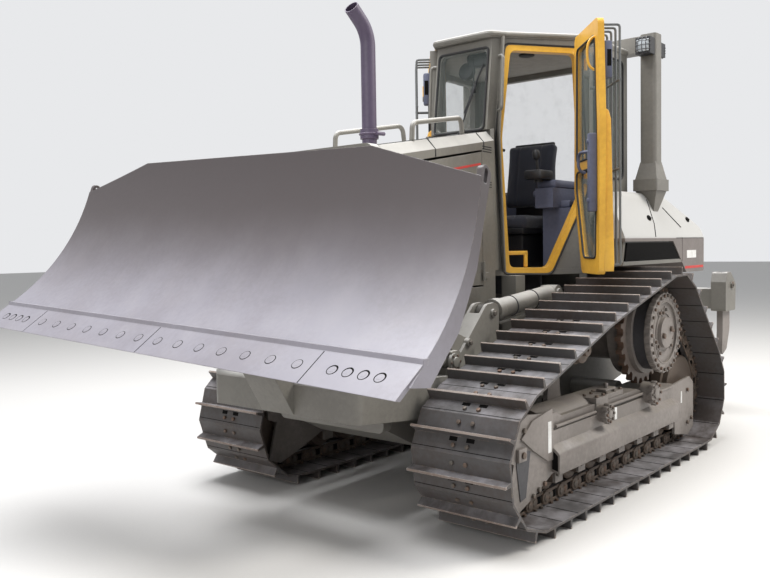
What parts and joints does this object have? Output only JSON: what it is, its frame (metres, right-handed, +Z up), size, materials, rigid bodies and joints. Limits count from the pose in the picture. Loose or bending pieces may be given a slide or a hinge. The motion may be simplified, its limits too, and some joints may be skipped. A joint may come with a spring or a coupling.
{
  "type": "bulldozer",
  "caption": "Crawler bulldozer with raised sprockets, a straight push frame with a curved angling and tilting blade, an enclosed cab with side doors, and a rear ripper.",
  "frame": {"origin": "on the ground midway between the tracks, about in the middle of the machine's length from ripper to blade", "axes": "+X is the machine's forward direction, +Y its left, +Z up"},
  "size_m": [5.4913, 3.0968, 3.05],
  "materials": {
    "body_paint": "satin",
    "blade_paint": "satin",
    "track_steel": "worn",
    "door_paint": "satin",
    "dark_paint": "satin",
    "black_paint": "satin",
    "burnt_steel": "heat tinted",
    "window_glass": "clear",
    "seat_fabric": "woven",
    "cab_plastic": "matt",
    "worn_steel": "worn",
    "rod_chrome": "polished"
  },
  "bodies": {
    "chassis": {"main_frame": "body_paint", "engine_block": "dark_paint", "radiator": "black_paint", "radiator_guard": "body_paint", "hood_top": "body_paint", "cowl": "body_paint", "exhaust_stack": "burnt_steel", "hand_rails": "dark_paint", "cab_floor": "body_paint", "cab_front": "body_paint", "cab_side_left": "body_paint", "cab_side_right": "body_paint", "cab_rear": "body_paint", "cab_roof": "body_paint", "cab_glass": "window_glass", "seat": "seat_fabric", "consoles": "cab_plastic", "dashboard": "cab_plastic", "roll_over_frame": "body_paint", "work_lamps": "black_paint", "fuel_tank": "body_paint", "fenders": "body_paint", "side_grilles": "black_paint", "rear_case": "body_paint", "ripper_bracket": "body_paint", "track_frames": "body_paint", "track_left": "track_steel", "track_right": "track_steel", "final_drives": "body_paint", "rollers": "track_steel", "idlers": "track_steel"},
    "engine_door_left": {"engine_door_left": "body_paint"},
    "engine_door_right": {"engine_door_right": "body_paint"},
    "cab_door_left": {"door_frame_left": "door_paint", "door_glass_left": "window_glass"},
    "cab_door_right": {"door_frame_right": "door_paint", "door_glass_right": "window_glass"},
    "push_frame": {"push_frame": "body_paint"},
    "lift_barrels": {"lift_barrels": "body_paint"},
    "lift_rods": {"lift_rods": "rod_chrome"},
    "swivel": {"swivel": "body_paint"},
    "blade": {"blade": "blade_paint"},
    "angle_barrel_left": {"angle_barrel_left": "body_paint"},
    "angle_rod_left": {"angle_rod_left": "rod_chrome"},
    "angle_barrel_right": {"angle_barrel_right": "body_paint"},
    "angle_rod_right": {"angle_rod_right": "rod_chrome"},
    "tilt_barrel": {"tilt_barrel": "body_paint"},
    "tilt_rod": {"tilt_rod": "rod_chrome"},
    "ripper_lower_links": {"ripper_lower_links": "body_paint"},
    "ripper_upper_link": {"ripper_upper_link": "body_paint"},
    "ripper_beam": {"ripper_beam": "body_paint", "ripper_shanks": "worn_steel"},
    "ripper_barrels": {"ripper_barrels": "body_paint"},
    "ripper_rods": {"ripper_rods": "rod_chrome"}
  },
  "joints": [
    {"name": "engine_door_left_hinge", "type": "hinge", "parent": "chassis", "child": "engine_door_left", "pos_m": [0.36771, 0.31276, 1.36], "axis": [0, 0, 1], "range_deg": [0, 75]},
    {"name": "engine_door_right_hinge", "type": "hinge", "parent": "chassis", "child": "engine_door_right", "pos_m": [0.36771, -0.31276, 1.36], "axis": [0, 0, 1], "range_deg": [-75, 0]},
    {"name": "cab_door_left_hinge", "type": "hinge", "parent": "chassis", "child": "cab_door_left", "pos_m": [-0.33323, 0.67332, 1.96], "axis": [0, 0, 1], "range_deg": [-80.5, 0]},
    {"name": "cab_door_right_hinge", "type": "hinge", "parent": "chassis", "child": "cab_door_right", "pos_m": [-0.33323, -0.67332, 1.96], "axis": [0, 0, 1], "range_deg": [-80.5, 0]},
    {"name": "lift", "type": "hinge", "parent": "chassis", "child": "push_frame", "pos_m": [0.56, 0, 0.54], "axis": [0, 1, 0], "range_deg": [0, 36]},
    {"name": "lift_barrel_turn", "type": "hinge", "parent": "chassis", "child": "lift_barrels", "pos_m": [-0.198, 0, 1.192], "axis": [0, 1, 0], "range_deg": [0, 7.32]},
    {"name": "lift_rod_slide", "type": "slide", "parent": "lift_barrels", "child": "lift_rods", "axis": [0.9961, 0, -0.0886], "range_m": [0, 0.35307]},
    {"name": "blade_angle", "type": "hinge", "parent": "push_frame", "child": "swivel", "pos_m": [2.147, 0, 1.165], "axis": [-0.4617, 0, 0.887], "range_deg": [-25, 25]},
    {"name": "blade_tilt", "type": "hinge", "parent": "swivel", "child": "blade", "pos_m": [2.147, 0, 1.165], "axis": [0.887, 0, 0.4617], "range_deg": [-4.8, 9.2]},
    {"name": "angle_barrel_left_turn", "type": "hinge", "parent": "push_frame", "child": "angle_barrel_left", "pos_m": [1.06, 0.495, 0.872], "axis": [0.9695, 0.0235, 0.2441], "range_deg": [-72.27, 72.27]},
    {"name": "angle_rod_left_slide", "type": "slide", "parent": "angle_barrel_left", "child": "angle_rod_left", "axis": [0.9601, 0.0715, 0.2704], "range_m": [-0.24369, 0.24369]},
    {"name": "angle_barrel_right_turn", "type": "hinge", "parent": "push_frame", "child": "angle_barrel_right", "pos_m": [1.06, -0.495, 0.872], "axis": [0.9695, -0.0235, 0.2441], "range_deg": [-72.27, 72.27]},
    {"name": "angle_rod_right_slide", "type": "slide", "parent": "angle_barrel_right", "child": "angle_rod_right", "axis": [0.9601, -0.0715, 0.2704], "range_m": [-0.24369, 0.24369]},
    {"name": "tilt_barrel_turn", "type": "hinge", "parent": "swivel", "child": "tilt_barrel", "pos_m": [2.14505, -0.18, 1.55857], "axis": [0.887, 0, 0.4617], "range_deg": [-3.7, 6.82]},
    {"name": "tilt_rod_slide", "type": "slide", "parent": "tilt_barrel", "child": "tilt_rod", "axis": [0.0124, 0.9996, -0.0239], "range_m": [-0.0584, 0.03143]},
    {"name": "ripper_lift", "type": "hinge", "parent": "chassis", "child": "ripper_lower_links", "pos_m": [-1.866, 0, 0.499], "axis": [0, -1, 0], "range_deg": [0, 80]},
    {"name": "ripper_beam_turn", "type": "hinge", "parent": "ripper_lower_links", "child": "ripper_beam", "pos_m": [-2.33881, 0, 0.8684], "axis": [0, -1, 0], "range_deg": [-80, 0]},
    {"name": "ripper_upper_turn", "type": "hinge", "parent": "chassis", "child": "ripper_upper_link", "pos_m": [-1.866, 0, 0.759], "axis": [0, -1, 0], "range_deg": [0, 80]},
    {"name": "ripper_barrel_turn", "type": "hinge", "parent": "chassis", "child": "ripper_barrels", "pos_m": [-1.866, 0, 1.009], "axis": [0, -1, 0], "range_deg": [0, 63.89]},
    {"name": "ripper_rod_slide", "type": "slide", "parent": "ripper_barrels", "child": "ripper_rods", "axis": [-0.9767, 0, 0.2145], "range_m": [0, 0.27471]}
  ],
  "couplings": [
    {"joint": "lift_barrel_turn", "follows": "lift", "ratio": 0.17553},
    {"joint": "lift_rod_slide", "follows": "lift", "m_per_rad": 0.54601},
    {"joint": "angle_barrel_left_turn", "follows": "blade_angle", "ratio": -2.8706},
    {"joint": "angle_rod_left_slide", "follows": "blade_angle", "m_per_rad": -0.55162},
    {"joint": "angle_barrel_right_turn", "follows": "blade_angle", "ratio": -2.8706},
    {"joint": "angle_rod_right_slide", "follows": "blade_angle", "m_per_rad": 0.55162},
    {"joint": "tilt_barrel_turn", "follows": "blade_tilt", "ratio": 0.70828},
    {"joint": "tilt_rod_slide", "follows": "blade_tilt", "m_per_rad": -0.35125},
    {"joint": "ripper_beam_turn", "follows": "ripper_lift", "ratio": -1},
    {"joint": "ripper_upper_turn", "follows": "ripper_lift", "ratio": 1},
    {"joint": "ripper_barrel_turn", "follows": "ripper_lift", "ratio": 0.79235},
    {"joint": "ripper_rod_slide", "follows": "ripper_lift", "m_per_rad": 0.19317}
  ]
}
